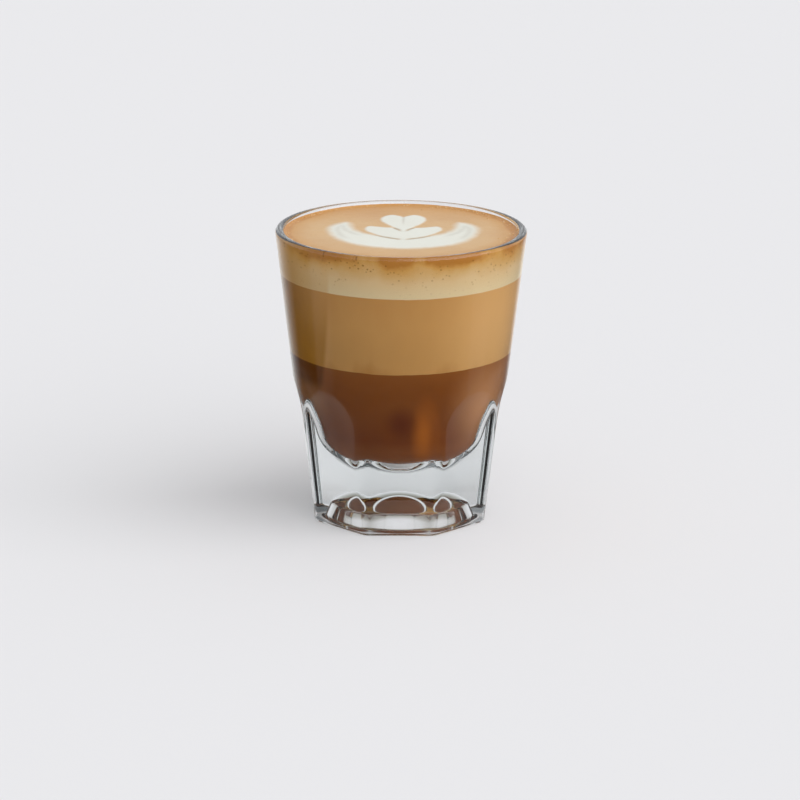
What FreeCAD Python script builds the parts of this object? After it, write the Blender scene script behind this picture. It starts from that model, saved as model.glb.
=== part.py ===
import FreeCAD, Part
import os
import re

import Sketcher

# A cortado, served in the small eight-panelled tumbler that many cafes pour it in.
# Millimetres, +Z up. The origin is the centre of the foot, on the surface that the glass stands on.
#
# The tumbler is one thick pressed-glass solid: a straight cone outside, eight flats with arched
# tops pressed into its lower half, a heavy base with a steep-sided, domed hollow under it, and a
# cavity that narrows faster than the outside does. The drink fills the cavity in level layers, and
# each is a solid.

SIZES = [
    # the tumbler's outside
    ("rim_diameter", 70.0, "outside, across the lip"),
    ("base_diameter", 50.4, "outside cone, where it meets the table"),
    ("glass_height", 82.0, "foot to brim"),
    ("heel_round", 0.9, "edge round the foot"),
    ("lip_round", 1.0, "both edges of the lip"),
    # the hollow under the base
    ("foot_ring", 7.8, "flat ring that the glass stands on, at the middle of a panel"),
    ("punt_lean", 2.5, "how far the hollow's side leans in as it rises"),
    ("punt_side_height", 4.8, "foot to where the side meets the dome"),
    ("punt_depth", 9.6, "foot to the top of the dome"),
    ("punt_edge_round", 2.0, "edge between foot ring and hollow"),
    ("punt_shoulder_round", 3.0, "edge between side and dome"),
    # the panels
    ("panel_count", 8.0, "flats round the lower half"),
    ("panel_depth_foot", 1.6, "from the cone in to the flat, at the foot"),
    ("panel_depth_top", 1.8, "the same, at the tops of the arches"),
    ("panel_flat_height", 30.6, "foot to where the flat starts to run out"),
    ("arch_height", 40.4, "foot to the tops of the arches"),
    # the cavity
    ("lip_wall", 2.5, "glass at the brim"),
    ("wall_bow", 1.7, "how far the cavity's side bows out from a straight line"),
    ("knuckle_diameter", 32.8, "cavity, where its side meets its floor"),
    ("knuckle_height", 22.0, "foot to the same place"),
    ("knuckle_round", 9.0, "rounding between side and floor"),
    ("floor_height", 15.4, "foot to the cavity's lowest point"),
    # the drink, from the top down
    ("head_space", 1.2, "brim down to the drink"),
    ("crema_depth", 3.8, "coffee-stained foam on top"),
    ("foam_depth", 7.2, "pale milk foam under it"),
    ("milk_coffee_depth", 22.3, "steamed milk mixed with coffee"),
    # the poured pattern: a heart over a pair of leaves, in a crescent
    ("art_depth", 1.2, "white foam let into the crema"),
    ("art_shift", 0.6, "the pattern's middle, to the right of the glass's"),
    ("art_line", 0.9, "coffee line between two petals"),
    ("stem_width", 2.4, "where the lines fade out and the petals join"),
    ("heart_width", 12.2, "across both lobes"),
    ("heart_height", 19.2, "tip to the tops of the lobes"),
    ("heart_tip", 1.4, "its tip, beyond the middle of the drink"),
    ("leaf_width", 21.0, "across the pair of leaves"),
    ("leaf_height", 14.8, "their lowest point to their tips"),
    ("leaf_drop", 7.8, "their lowest point, this side of the middle"),
    ("crescent_width", 42.0, "across the crescent"),
    ("crescent_height", 31.4, "its lowest point to the tips of its horns"),
    ("crescent_drop", 19.2, "its lowest point, this side of the middle"),
]

CLEAR = 5.0  # how far a cutting shape runs past what it cuts
SAME = 1e-4  # two places this close are one place
ARC_FIT = 0.05  # how closely the pattern's arcs follow its free curves

CONE_AT = "(base_diameter / 2 + (rim_diameter - base_diameter) / 2 * ({0}) / glass_height)"
PUNT_RADIUS = "(base_diameter / 2 - panel_depth_foot - foot_ring)"
FILL_LEVEL = "glass_height - head_space"


def spelled(rule):
    """A rule with each size's name spelled out as a cell of the sheet."""
    return re.sub(r"\b([a-z]+(?:_[a-z]+)+)\b", r"Sizes.\1", rule)


def value(owner, rule):
    """What a rule comes to with the sizes now in the sheet."""
    result = owner.evalExpression(spelled(rule))
    return float(getattr(result, "Value", result))


def make_sheet(doc):
    """The driving dimensions, one named cell each."""
    sheet = doc.addObject("Spreadsheet::Sheet", "Sizes")
    for row, (name, size, meaning) in enumerate(SIZES, start=1):
        sheet.set(f"A{row}", name)
        sheet.set(f"B{row}", str(size))
        sheet.set(f"C{row}", meaning)
        sheet.setAlias(f"B{row}", name)
    doc.recompute()
    return sheet


def bind(item, place, rule):
    """Ties one property of a document object to the sheet."""
    item.setExpression(place, spelled(rule))


# ---------------------------------------------------------------- sketches


def sketch_on(body, name, role):
    """An empty sketch on one of the body's own origin planes."""
    sketch = body.newObject("Sketcher::SketchObject", name)
    plane = next(item for item in body.Origin.OriginFeatures if item.Role == role)
    sketch.AttachmentSupport = [(plane, "")]
    sketch.MapMode = "FlatFace"
    return sketch


def add_rule(sketch, kind, target, size, rule):
    """A dimension on the sketch, bound to the sheet."""
    index = sketch.addConstraint(Sketcher.Constraint(kind, *target, size))
    bind(sketch, f"Constraints[{index}]", rule)


def draw_outline(sketch, corners, arcs, smooth=()):
    """A closed outline through corners, each a pair of rules: distance from the axis, height.

    arcs gives, for each side that is an arc, a point that it passes through. smooth lists the
    sides that run on from the side before with no corner.
    """
    places = [FreeCAD.Vector(value(sketch, across), value(sketch, up), 0) for across, up in corners]
    sides = len(places)
    first = []
    for side, start in enumerate(places):
        stop = places[(side + 1) % sides]
        if side in arcs:
            sketch.addGeometry(Part.Arc(start, arcs[side], stop), False)
        else:
            sketch.addGeometry(Part.LineSegment(start, stop), False)
        first.append(1 if sketch.getPoint(side, 1).distanceToPoint(start) < SAME else 2)
    for side, (across, up) in enumerate(corners):
        before = (side - 1) % sides
        last = 3 - first[before]
        kind = "Tangent" if side in smooth else "Coincident"
        sketch.addConstraint(Sketcher.Constraint(kind, before, last, side, first[side]))
        for kind, rule, size, axis in (
            ("DistanceX", across, places[side].x, -2),
            ("DistanceY", up, places[side].y, -1),
        ):
            if rule == "0":
                on_axis = Sketcher.Constraint("PointOnObject", side, first[side], axis)
                sketch.addConstraint(on_axis)
            else:
                add_rule(sketch, kind, (-1, 1, side, first[side]), size, rule)


def centre_on_axis(sketch, side):
    """Makes an arc part of a dome: its centre lies on the axis of revolution."""
    sketch.addConstraint(Sketcher.Constraint("PointOnObject", side, 3, -2))


def bowed_middle(start, stop, bow):
    """The middle of an arc from start to stop that stands bow outside the straight line."""
    along = stop - start
    outward = FreeCAD.Vector(along.y, -along.x, 0).normalize()
    return (start + stop) * 0.5 + outward * bow


# ---------------------------------------------------------------- features


def revolve(body, sketch, kind, name):
    """Turns a sketch about the glass's axis, to add (Revolution) or to cut (Groove)."""
    feature = body.newObject(f"PartDesign::{kind}", name)
    feature.Profile = sketch
    feature.ReferenceAxis = (sketch, ["V_Axis"])
    feature.Angle = 360
    feature.Document.recompute()
    return feature


def rounded(body, base, name, wanted, rule):
    """Rounds the edges of base that wanted picks."""
    names = [f"Edge{n}" for n, edge in enumerate(base.Shape.Edges, start=1) if wanted(edge)]
    fillet = body.newObject("PartDesign::Fillet", name)
    fillet.Base = (base, names)
    bind(fillet, "Radius", rule)
    body.Document.recompute()
    return fillet


def at_height(edge, height):
    """True for an edge that lies level at a height."""
    box = edge.BoundBox
    return abs(box.ZMin - height) < SAME and abs(box.ZMax - height) < SAME


def reach(edge):
    """How far an edge's end lies from the axis."""
    point = edge.Vertexes[0].Point
    return FreeCAD.Vector(point.x, point.y, 0).Length


def cavity_sketch(body):
    """The cavity's half section, running up past the brim."""
    sketch = sketch_on(body, f"{body.Name}_cavity_section", "XZ_Plane")
    brim_radius = "rim_diameter / 2 - lip_wall"
    side_run = f"({brim_radius} - knuckle_diameter / 2)"
    side_rise = "(glass_height - knuckle_height)"
    corners = [
        ("0", "floor_height"),
        ("knuckle_diameter / 2", "knuckle_height"),
        (brim_radius, "glass_height"),
        (brim_radius, f"glass_height + {CLEAR}"),
        ("0", f"glass_height + {CLEAR}"),
    ]
    floor, knuckle, brim = (
        FreeCAD.Vector(value(sketch, across), value(sketch, up), 0) for across, up in corners[:3]
    )
    dome_radius = (knuckle.x**2 + (knuckle.y - floor.y) ** 2) / (2 * (knuckle.y - floor.y))
    half = knuckle.x / 2
    on_floor = FreeCAD.Vector(half, floor.y + dome_radius - (dome_radius**2 - half**2) ** 0.5, 0)
    on_side = bowed_middle(knuckle, brim, value(sketch, "wall_bow"))
    draw_outline(sketch, corners, {0: on_floor, 1: on_side})
    centre_on_axis(sketch, 0)
    chord = f"({side_run}^2 + {side_rise}^2)"
    side_radius = f"({chord} / 4 + wall_bow^2) / (2 * wall_bow)"
    add_rule(sketch, "Radius", (1,), value(sketch, side_radius), side_radius)
    return sketch


def round_edge(owner, radius_rule, height_rule):
    """A test for one edge of a revolved shape."""
    radius, height = value(owner, radius_rule), value(owner, height_rule)
    return lambda edge: at_height(edge, height) and abs(reach(edge) - radius) < SAME


def is_knuckle(owner):
    """A test for the edge between the cavity's side and its floor."""
    return round_edge(owner, "knuckle_diameter / 2", "knuckle_height")


# ---------------------------------------------------------------- the tumbler


def blank_sketch(body):
    """The tumbler's outside half section, with the hollow under its base."""
    sketch = sketch_on(body, "blank_section", "XZ_Plane")
    corners = [
        ("0", "punt_depth"),
        (f"{PUNT_RADIUS} - punt_lean", "punt_side_height"),
        (PUNT_RADIUS, "0"),
        ("base_diameter / 2", "0"),
        ("rim_diameter / 2", "glass_height"),
        ("0", "glass_height"),
    ]
    shoulder, top = value(sketch, corners[1][0]), value(sketch, "punt_depth")
    rise = top - value(sketch, "punt_side_height")
    dome_radius = (shoulder**2 + rise**2) / (2 * rise)
    half = shoulder / 2
    on_dome = FreeCAD.Vector(half, top - dome_radius + (dome_radius**2 - half**2) ** 0.5, 0)
    draw_outline(sketch, corners, {0: on_dome})
    centre_on_axis(sketch, 0)
    return sketch


def panel_sketch(body):
    """What a flat takes off the cone: the flat, then an arc that runs out at the arch's top."""
    sketch = sketch_on(body, "panel_section", "YZ_Plane")
    at_foot = "(base_diameter / 2 - panel_depth_foot)"
    at_arch = f"({CONE_AT.format('arch_height')} - panel_depth_top)"
    flat_at = f"({at_foot} + ({at_arch} - {at_foot}) * ({{0}}) / arch_height)"
    outside = f"rim_diameter / 2 + {CLEAR}"
    corners = [
        (flat_at.format(f"-{CLEAR}"), f"-{CLEAR}"),
        (flat_at.format("panel_flat_height"), "panel_flat_height"),
        (CONE_AT.format("arch_height"), "arch_height"),
        (outside, "arch_height"),
        (outside, f"-{CLEAR}"),
    ]
    start, stop = (
        FreeCAD.Vector(value(sketch, across), value(sketch, up), 0) for across, up in corners[1:3]
    )
    low = FreeCAD.Vector(value(sketch, corners[0][0]), -CLEAR, 0)
    along = (start - low).normalize()
    chord = stop - start
    lean = chord.dot(FreeCAD.Vector(along.y, -along.x, 0))
    sagitta = lean / 4
    on_runout = (start + stop) * 0.5 + FreeCAD.Vector(-chord.y, chord.x, 0).normalize() * sagitta
    draw_outline(sketch, corners, {1: on_runout}, smooth=(1,))
    return sketch


def make_glass(doc):
    """The tumbler, as one body."""
    body = doc.addObject("PartDesign::Body", "glass")
    blank = revolve(body, blank_sketch(body), "Revolution", "blank")
    hollow = revolve(body, cavity_sketch(body), "Groove", "cavity")
    if hollow.Shape.Volume > blank.Shape.Volume * 0.9:
        raise ValueError("the cavity cut nothing")
    panel = body.newObject("PartDesign::Pocket", "panel")
    panel.Profile = panel_sketch(body)
    panel.Type = "ThroughAll"
    panel.SideType = "Symmetric"
    doc.recompute()
    if panel.Shape.Volume > hollow.Shape.Volume - 1:
        raise ValueError("the panel cut nothing")
    ring = body.newObject("PartDesign::PolarPattern", "panels")
    ring.Originals = [panel]
    axis = next(item for item in body.Origin.OriginFeatures if item.Role == "Z_Axis")
    ring.Axis = (axis, [""])
    ring.Angle = 360
    bind(ring, "Occurrences", "panel_count")
    body.Tip = ring
    doc.recompute()
    height, punt = value(body, "glass_height"), value(body, PUNT_RADIUS)
    tests = {
        "knuckle": is_knuckle(body),
        "lip": lambda edge: at_height(edge, height),
        "punt_shoulder": round_edge(body, f"{PUNT_RADIUS} - punt_lean", "punt_side_height"),
        "punt_edge": round_edge(body, PUNT_RADIUS, "0"),
        "heel": lambda edge: at_height(edge, 0) and reach(edge) > punt + SAME,
    }
    last = ring
    for name, wanted in tests.items():
        last = rounded(body, last, name, wanted, f"{name}_round")
    return body


# ---------------------------------------------------------------- the drink


def make_contents(doc):
    """What would fill the cavity past the brim, to be sliced into layers."""
    body = doc.addObject("PartDesign::Body", "contents")
    fill = revolve(body, cavity_sketch(body), "Revolution", "fill")
    rounded(body, fill, "fill_knuckle", is_knuckle(body), "knuckle_round")
    return body


def make_layer(doc, contents, name, bottom, top):
    """The contents between two heights."""
    slab = doc.addObject("Part::Cylinder", f"{name}_slab")
    bind(slab, "Radius", "rim_diameter / 2")
    bind(slab, "Height", f"({top}) - ({bottom})")
    bind(slab, "Placement.Base.z", bottom)
    layer = doc.addObject("Part::Common", name)
    layer.Base = contents
    layer.Tool = slab
    return layer


def petal_pair(points):
    """A face mirrored about the far-near line, through points of its right half, low to high.

    Its outline is made of arcs, which stay arcs when it is offset.
    """
    right = Part.BSplineCurve()
    right.interpolate([FreeCAD.Vector(x, y, 0) for x, y in points])
    arcs = [arc.toShape() for arc in right.toBiArcs(ARC_FIT)]
    mirrored = [arc.mirror(FreeCAD.Vector(), FreeCAD.Vector(1, 0, 0)) for arc in arcs]
    return Part.Face(Part.Wire(Part.sortEdges(arcs + mirrored)[0]))


def spread(shares, width, height, low):
    """Places an outline given in shares of its half width and of its height."""
    return [(x * width / 2, low + y * height) for x, y in shares]


def heart_face(sheet):
    """The heart: a pointed tip this side, two lobes and a notch on the far side."""
    shares = [(0, 0), (0.30, 0.17), (0.80, 0.47), (0.98, 0.78), (0.55, 0.99), (0, 0.84)]
    return petal_pair(spread(shares, sheet.heart_width, sheet.heart_height, sheet.heart_tip))


def leaf_face(sheet):
    """The pair of leaves, before the heart is laid over them."""
    shares = [(0, 0), (0.47, 0.17), (0.86, 0.50), (1.0, 0.82), (0.90, 0.99), (0.62, 0.93), (0, 0.9)]
    return petal_pair(spread(shares, sheet.leaf_width, sheet.leaf_height, -sheet.leaf_drop))


def crescent_face(sheet):
    """The crescent, before the leaves are laid over it."""
    shares = [
        (0, 0),
        (0.52, 0.09),
        (0.88, 0.36),
        (1.0, 0.68),
        (0.90, 0.92),
        (0.74, 0.99),
        (0.68, 0.84),
        (0.60, 0.66),
        (0.40, 0.52),
        (0, 0.46),
    ]
    low = -sheet.crescent_drop
    return petal_pair(spread(shares, sheet.crescent_width, sheet.crescent_height, low))


def make_art(doc, sheet):
    """The white foam of the poured pattern, as one solid let into the crema."""
    heart, leaves, crescent = heart_face(sheet), leaf_face(sheet), crescent_face(sheet)
    heart_edge, leaf_edge = (face.makeOffset2D(sheet.art_line) for face in (heart, leaves))
    stem_low = -sheet.leaf_drop - 3 * sheet.art_line
    stem_high = sheet.heart_tip + 2 * sheet.art_line
    stem = Part.makePlane(sheet.stem_width, stem_high - stem_low)
    stem.translate(FreeCAD.Vector(-sheet.stem_width / 2, stem_low, 0))
    faces = [heart, stem] + leaves.cut(heart_edge).Faces + crescent.cut([leaf_edge, heart_edge]).Faces
    down = FreeCAD.Vector(0, 0, -sheet.art_depth)
    solids = [face.extrude(down) for face in faces]
    art = doc.addObject("Part::Feature", "foam_art")
    art.Shape = solids[0].multiFuse(solids[1:]).removeSplitter().Solids[0]
    bind(art, "Placement.Base.x", "art_shift")
    bind(art, "Placement.Base.z", FILL_LEVEL)
    return art


def make_drink(doc, sheet):
    """The layers, from the crema down to the espresso, and the pattern on top."""
    contents = make_contents(doc)
    levels = [FILL_LEVEL]
    for depth in ("crema_depth", "foam_depth", "milk_coffee_depth"):
        levels.append(f"{levels[-1]} - {depth}")
    crema, foam, milk_coffee = (
        make_layer(doc, contents, name, levels[n + 1], levels[n])
        for n, name in enumerate(("crema_layer", "foam", "milk_coffee"))
    )
    espresso = make_layer(doc, contents, "espresso", "0", levels[-1])
    art = make_art(doc, sheet)
    top = doc.addObject("Part::Cut", "crema")
    top.Base = crema
    top.Tool = art
    return [espresso, milk_coffee, foam, top, art]


# ---------------------------------------------------------------- the whole


def check(doc, subparts):
    """Stops on any failed object, and on any sub-part that is not one sound solid."""
    for item in doc.Objects:
        if "Invalid" in item.State or "Error" in item.State:
            raise ValueError(f"{item.Name} failed: {item.State}")
    for item in subparts:
        shape = item.Shape
        if shape.isNull() or not shape.isValid() or len(shape.Solids) != 1:
            raise ValueError(f"{item.Label} is not one sound solid")


def main():
    doc = FreeCAD.newDocument("cortado")
    sheet = make_sheet(doc)
    subparts = [make_glass(doc)] + make_drink(doc, sheet)
    doc.recompute()
    check(doc, subparts)
    os.makedirs("parts", exist_ok=True)
    for item in subparts:
        item.Shape.exportStep(os.path.join("parts", f"{item.Label}.step"))
        print(item.Label, f"{item.Shape.Volume / 1000:.2f} ml")


main()
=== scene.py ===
import math

import bpy
import numpy as np
from mathutils import Matrix, Vector, noise


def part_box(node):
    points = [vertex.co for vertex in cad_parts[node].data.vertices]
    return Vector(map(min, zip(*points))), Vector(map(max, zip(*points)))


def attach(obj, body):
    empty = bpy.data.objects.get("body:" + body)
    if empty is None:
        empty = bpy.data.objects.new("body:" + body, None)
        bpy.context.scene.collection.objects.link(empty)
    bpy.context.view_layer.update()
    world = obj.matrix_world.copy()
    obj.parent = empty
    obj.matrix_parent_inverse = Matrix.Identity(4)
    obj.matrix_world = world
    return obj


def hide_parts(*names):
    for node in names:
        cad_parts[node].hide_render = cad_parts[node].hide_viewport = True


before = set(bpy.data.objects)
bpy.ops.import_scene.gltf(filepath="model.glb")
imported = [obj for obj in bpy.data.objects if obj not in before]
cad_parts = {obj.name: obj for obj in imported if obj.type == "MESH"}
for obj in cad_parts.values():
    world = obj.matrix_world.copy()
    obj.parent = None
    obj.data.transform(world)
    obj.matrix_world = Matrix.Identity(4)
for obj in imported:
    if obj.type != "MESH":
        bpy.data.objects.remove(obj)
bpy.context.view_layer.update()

# A cortado in its panelled tumbler. Metres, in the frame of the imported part: +Z up, the origin at
# the centre of the foot. The side that the camera sees is -Y.

MM = 0.001

# ---------------------------------------------------------------- sizes, from the frame

GLASS_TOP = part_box("glass")[1].z
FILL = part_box("foam_art")[1].z
CREMA_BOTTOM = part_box("crema")[0].z
FOAM_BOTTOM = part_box("foam")[0].z
MILK_COFFEE_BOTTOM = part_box("milk_coffee")[0].z
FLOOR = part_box("espresso")[0].z

# ---------------------------------------------------------------- the tumbler's form

RIM_RADIUS = 35.0 * MM
BASE_RADIUS = 25.2 * MM
HEEL_ROUND = 0.9 * MM
LIP_ROUND = 1.0 * MM
PUNT_RADIUS = 15.8 * MM
PUNT_LEAN = 2.5 * MM
PUNT_SIDE_HEIGHT = 4.8 * MM
PUNT_DEPTH = 9.6 * MM
PUNT_EDGE_ROUND = 2.0 * MM
PUNT_SHOULDER_ROUND = 3.0 * MM
PANELS = 8
PANEL_DEPTH_FOOT = 1.6 * MM
PANEL_DEPTH_TOP = 1.8 * MM
PANEL_FLAT_HEIGHT = 30.6 * MM
ARCH_HEIGHT = 40.4 * MM
PANEL_EDGE_ROUND = 0.35 * MM
LIP_WALL = 2.5 * MM
WALL_BOW = 1.7 * MM
KNUCKLE_RADIUS = 16.4 * MM
KNUCKLE_HEIGHT = 22.0 * MM
KNUCKLE_ROUND = 9.0 * MM

SECTOR = 2 * math.pi / PANELS
FRONT = -math.pi / 2  # azimuth of the panel that faces the camera

# The mesh's columns in half a sector: shares of the way from a panel's middle to its edge, and
# from there to the middle between two panels.
IN_PANEL = np.array([0.25, 0.5, 0.7, 0.83, 0.91, 0.96, 0.985, 1.0])
BESIDE_PANEL = np.array([0.04, 0.1, 0.2, 0.36, 0.56, 0.78, 1.0])
NARROWEST = math.radians(1.3)  # the edge's columns come no nearer to the middle than this
PLAIN_GUIDE = math.radians(13)  # where they are on the round wall,
PLAIN_FROM = 60 * MM  # from this height up

FLAT_ROWS, ARCH_ROWS, WALL_ROWS = 26, 74, 40  # beside the flats, the arches, the wall; ends included
ARCH_ROWS_UNDER = 2 * MM  # how far the close rows run on under and over the arches
ARCH_ROWS_OVER = 0.8 * MM
WALL_CLEAR = 1.3 * LIP_ROUND  # the wall's rows end this far under the brim
INSIDE_CLEAR = 0.4 * MM  # the inside's begin this far under the lip's rounding
INNERMOST = 0.3 * MM  # and end at this radius
FOOT_RINGS = 5
HEEL_STEPS = 9
LIP_STEPS = 10
CORNER_STEPS = 8
DOME_STEPS = 30
PUNT_SIDE_STEPS = 6
SIDE_STEPS, FINE_SIDE_STEPS = 90, 1500
KNUCKLE_STEPS = 14
FLOOR_STEPS = 26


def cone_radius(z):
    return BASE_RADIUS + (RIM_RADIUS - BASE_RADIUS) * z / GLASS_TOP


def flat_distance(z):
    """How far a panel's surface lies from the axis, at its middle."""
    foot = BASE_RADIUS - PANEL_DEPTH_FOOT
    top = cone_radius(ARCH_HEIGHT) - PANEL_DEPTH_TOP
    run_out = max(0.0, (z - PANEL_FLAT_HEIGHT) / (ARCH_HEIGHT - PANEL_FLAT_HEIGHT))
    return foot + (top - foot) * z / ARCH_HEIGHT + PANEL_DEPTH_TOP * run_out**2


def soft_min(a, b, width):
    """The lesser of a and b, with the crease between them rounded over about width."""
    share = np.clip(0.5 + 0.5 * (b - a) / width, 0, 1)
    return b + (a - b) * share - width * share * (1 - share)


def half_angle(z):
    """Half the angle that a panel spans at a height, seen from the axis."""
    ratio = flat_distance(z) / cone_radius(z)
    return math.acos(ratio) if ratio < 1 else 0.0


def guide_angle(z):
    """Where the mesh's columns crowd together: at the panels' edges. They spread out above."""
    if z <= ARCH_HEIGHT:
        return max(half_angle(max(z, 0.0)), NARROWEST)
    share = min(1.0, (z - ARCH_HEIGHT) / (PLAIN_FROM - ARCH_HEIGHT))
    return NARROWEST + (PLAIN_GUIDE - NARROWEST) * share


def column_angles(z):
    """Azimuths of the glass mesh's columns at a height."""
    guide = guide_angle(z)
    side = np.concatenate([IN_PANEL * guide, guide + BESIDE_PANEL * (SECTOR / 2 - guide)])
    sector = np.concatenate([-side[::-1], [0.0], side[:-1]])
    return np.concatenate([FRONT + k * SECTOR + sector for k in range(PANELS)])


def outer_radius(angles, z):
    """The tumbler's outside: the cone, with the panels cut into it."""
    off_panel = (angles - FRONT + SECTOR / 2) % SECTOR - SECTOR / 2
    return soft_min(flat_distance(z) / np.cos(off_panel), cone_radius(z), PANEL_EDGE_ROUND)


def arc_points(centre, radius, start, stop, count):
    """Points (radius, height) on an arc, start and stop being angles from the +radius axis."""
    turns = np.linspace(start, stop, count)
    return [(centre[0] + radius * math.cos(t), centre[1] + radius * math.sin(t)) for t in turns]


def lower_meet(c1, r1, c2, r2):
    """Where two circles of the half section meet, at the lower of the two places."""
    apart = c2 - c1
    d = apart.length
    along = (r1**2 - r2**2 + d**2) / (2 * d)
    across = math.sqrt(r1**2 - along**2)
    unit = apart / d
    foot, off = c1 + unit * along, Vector((-unit.y, unit.x)) * across
    return min(foot + off, foot - off, key=lambda point: point.y)


def turn_to(point, centre):
    """The direction from a centre to a point, as an angle from the +radius axis."""
    away = point - centre
    return math.atan2(away.y, away.x)


def cavity_profile(side_steps):
    """The cavity's half section, from the brim down to its floor's middle: a bowed side, the
    knuckle's rounding and a round floor."""
    brim = Vector((RIM_RADIUS - LIP_WALL, GLASS_TOP))
    knuckle = Vector((KNUCKLE_RADIUS, KNUCKLE_HEIGHT))
    chord = brim - knuckle
    side_radius = (chord.length**2 / 4 + WALL_BOW**2) / (2 * WALL_BOW)
    inward = Vector((-chord.y, chord.x)).normalized()
    side_centre = (brim + knuckle) / 2 + inward * (side_radius - WALL_BOW)
    rise = KNUCKLE_HEIGHT - FLOOR
    floor_radius = (KNUCKLE_RADIUS**2 + rise**2) / (2 * rise)
    floor_centre = Vector((0, FLOOR + floor_radius))
    centre = lower_meet(
        side_centre, side_radius - KNUCKLE_ROUND, floor_centre, floor_radius - KNUCKLE_ROUND
    )
    brim_turn = turn_to(brim, side_centre)
    side_turn, floor_turn = turn_to(centre, side_centre), turn_to(centre, floor_centre)
    side = arc_points(side_centre, side_radius, brim_turn, side_turn, side_steps)
    bend = arc_points(centre, KNUCKLE_ROUND, side_turn, floor_turn, KNUCKLE_STEPS)
    floor = arc_points(floor_centre, floor_radius, floor_turn, -math.pi / 2, FLOOR_STEPS)
    return np.array(side + bend[1:] + floor[1:])


CAVITY = cavity_profile(SIDE_STEPS)
CAVITY_FINE = cavity_profile(FINE_SIDE_STEPS)


def cavity_radius(z):
    """The cavity's radius at a height, or at each of several."""
    return np.interp(z, CAVITY_FINE[::-1, 1], CAVITY_FINE[::-1, 0])


# ---------------------------------------------------------------- mesh helpers

CREASE = math.radians(50)  # edges that turn by more stay sharp


def ring(angles, radii, heights):
    """Points round the axis."""
    radii = np.broadcast_to(radii, angles.shape)
    heights = np.broadcast_to(heights, angles.shape)
    return np.stack([radii * np.cos(angles), radii * np.sin(angles), heights], axis=1)


def band(lower, upper):
    """The squares between two closed rows of vertices."""
    after = [*range(1, len(lower)), 0]
    return [(lower[k], lower[n], upper[n], upper[k]) for k, n in enumerate(after)]


def fan(row, middle, flip=False):
    """The triangles between a closed row of vertices and one in its middle."""
    after = [*range(1, len(row)), 0]
    return [(row[n], row[k], middle) if flip else (row[k], row[n], middle) for k, n in enumerate(after)]


def new_mesh(name, verts, faces):
    mesh = bpy.data.meshes.new(name)
    mesh.from_pydata(verts, [], faces)
    return mesh


def tube_mesh(name, rows, capped=True):
    """A mesh from rows of points, each row a closed ring of equal length."""
    count = len(rows[0])
    verts = np.concatenate(rows)
    numbers = [range(k * count, (k + 1) * count) for k in range(len(rows))]
    faces = []
    for lower, upper in zip(numbers, numbers[1:]):
        faces += band(lower, upper)
    if capped:
        faces += fan(numbers[0], len(verts), flip=True) + fan(numbers[-1], len(verts) + 1)
        verts = np.concatenate([verts, [rows[0].mean(axis=0), rows[-1].mean(axis=0)]])
    return new_mesh(name, verts.tolist(), faces)


def add_object(name, data):
    """Puts a mesh, a lamp or a camera in the scene."""
    thing = bpy.data.objects.new(name, data)
    bpy.context.scene.collection.objects.link(thing)
    return thing


def add_piece(mesh, material, nodes, creased=True):
    """Puts a mesh in the scene as a piece of the object, which stands for the CAD nodes named."""
    for face in mesh.polygons:
        face.use_smooth = True
    if creased:
        mesh.set_sharp_from_angle(angle=CREASE)
    piece = add_object(mesh.name, mesh)
    mesh.materials.append(material)
    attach(piece, "root")
    if nodes:
        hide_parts(*nodes)


# ---------------------------------------------------------------- the tumbler


def rounded_corner(before, corner, after, radius):
    """An arc tangent to two straight runs that meet at a corner."""
    before, corner, after = Vector(before), Vector(corner), Vector(after)
    back, on = (before - corner).normalized(), (after - corner).normalized()
    half = back.angle(on) / 2
    centre = corner + (back + on).normalized() * (radius / math.sin(half))
    start = corner + back * (radius / math.tan(half)) - centre
    stop = corner + on * (radius / math.tan(half)) - centre
    turns = [-start.angle_signed(stop) * k / CORNER_STEPS for k in range(CORNER_STEPS + 1)]
    return [tuple(centre + Matrix.Rotation(turn, 2) @ start) for turn in turns]


def punt_profile():
    """The hollow under the base, from its middle to the foot: a dome on a steep side."""
    edge = (PUNT_RADIUS, 0.0)
    shoulder = (PUNT_RADIUS - PUNT_LEAN, PUNT_SIDE_HEIGHT)
    rise = PUNT_DEPTH - PUNT_SIDE_HEIGHT
    dome = (shoulder[0] ** 2 + rise**2) / (2 * rise)
    fall = math.asin(shoulder[0] / dome)
    on_tangent = (shoulder[0] - math.cos(fall) * 5 * MM, shoulder[1] + math.sin(fall) * 5 * MM)
    bend = rounded_corner(on_tangent, shoulder, edge, PUNT_SHOULDER_ROUND)
    foot = rounded_corner(shoulder, edge, (RIM_RADIUS, 0.0), PUNT_EDGE_ROUND)
    stop = math.acos(bend[0][0] / dome)
    over = arc_points((0.0, PUNT_DEPTH - dome), dome, math.pi / 2, stop, DOME_STEPS)
    down, up = Vector(bend[-1]), Vector(foot[0])
    side = [tuple(down.lerp(up, k / PUNT_SIDE_STEPS)) for k in range(1, PUNT_SIDE_STEPS)]
    return over[1:-1] + bend + side + foot


def lip_profile():
    """The lip's two roundings, from the outside over the brim to the inside."""
    height = GLASS_TOP - LIP_ROUND
    slope = math.atan2(RIM_RADIUS - BASE_RADIUS, GLASS_TOP)
    outer = cone_radius(height) - LIP_ROUND / math.cos(slope)
    inner_slope = math.atan2(CAVITY[0, 0] - CAVITY[3, 0], CAVITY[0, 1] - CAVITY[3, 1])
    inner = cavity_radius(height) + LIP_ROUND / math.cos(inner_slope)
    over = math.pi / 2
    return arc_points((outer, height), LIP_ROUND, -slope, over, LIP_STEPS) + arc_points(
        (inner, height), LIP_ROUND, over, math.pi + inner_slope, LIP_STEPS
    )


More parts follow.
